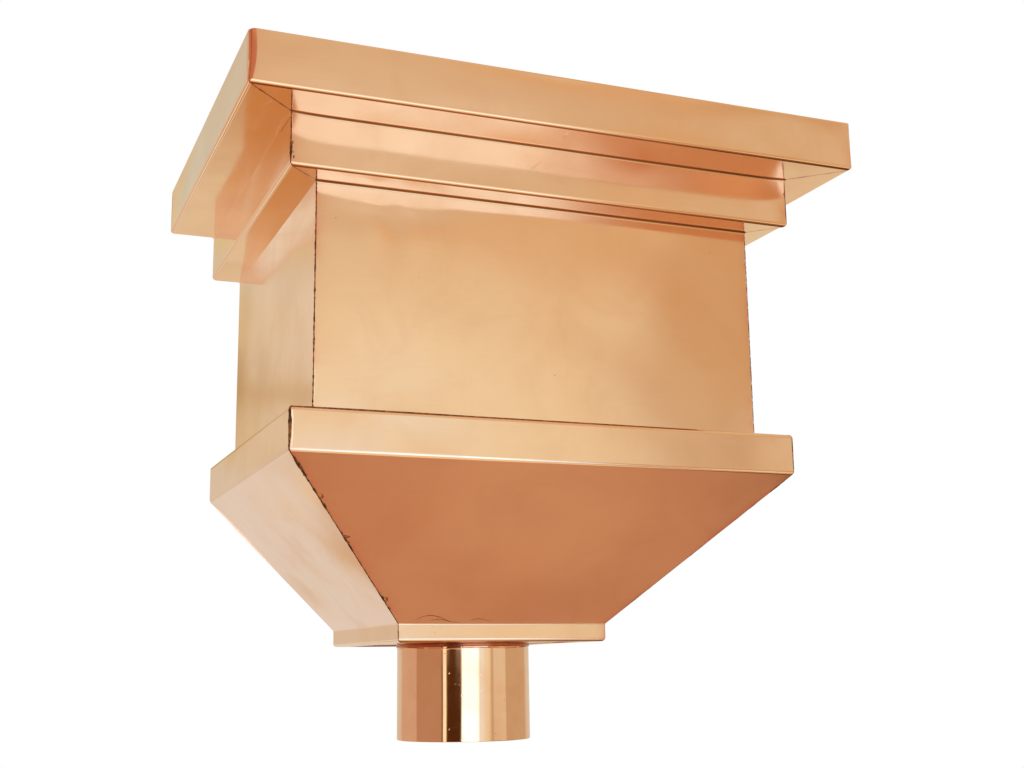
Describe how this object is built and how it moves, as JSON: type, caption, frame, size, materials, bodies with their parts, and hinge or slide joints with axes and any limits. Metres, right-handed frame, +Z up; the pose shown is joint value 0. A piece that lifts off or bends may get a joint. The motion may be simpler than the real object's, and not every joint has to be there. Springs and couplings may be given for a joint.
{
  "type": "leader head",
  "caption": "Copper leader head with a stepped cornice, a plain box, a base band and a tapering hopper that drains into a round outlet, flat at the back for a wall.",
  "frame": {"origin": "on the wall face of the back panel, midway across, level with the foot of the box", "axes": "+X to the right as seen from the front, +Y into the wall, +Z up"},
  "size_m": [0.333, 0.2385, 0.3328],
  "materials": {
    "copper_sheet": "bright rolled copper sheet, lightly handled",
    "copper_tube": "polished drawn copper tube"
  },
  "bodies": {
    "root": {"front_panel": "copper_sheet", "left_side_panel": "copper_sheet", "right_side_panel": "copper_sheet", "back_panel": "copper_sheet", "bottom_plate": "copper_sheet", "outlet_tube": "copper_tube"}
  },
  "joints": []
}
